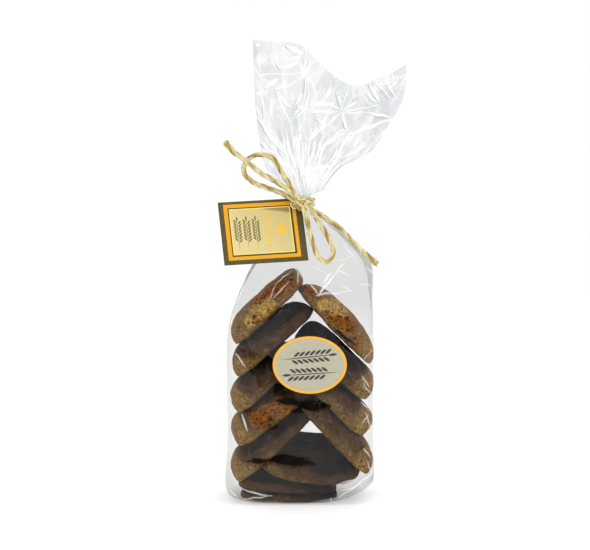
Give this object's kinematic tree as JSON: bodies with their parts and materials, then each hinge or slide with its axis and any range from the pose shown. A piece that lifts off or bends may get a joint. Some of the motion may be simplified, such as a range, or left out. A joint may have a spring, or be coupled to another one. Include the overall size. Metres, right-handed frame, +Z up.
{
  "type": "tied bag of biscotti",
  "caption": "Clear film bag of stacked biscotti with a gathered, flared top, a twine bow, a hang tag and an oval front label. It stands on its flat base.",
  "frame": {"origin": "middle of the bag's width and depth at the level of its flat base", "axes": "+Z up along the standing bag, -Y towards the front with the oval label, +X to the right as seen from the front"},
  "size_m": [0.1294, 0.0746, 0.3203],
  "materials": {
    "bag": "thin clear crinkled film round brown biscotti",
    "oval_label": "cream paper with an orange rim",
    "hang_tag": "gold panel with orange and olive borders",
    "twine": "matt straw-coloured twisted twine with brown flecks"
  },
  "bodies": {
    "root": {"bag": "bag", "oval_label": "oval_label", "hang_tag": "hang_tag", "twine": "twine"}
  },
  "joints": []
}
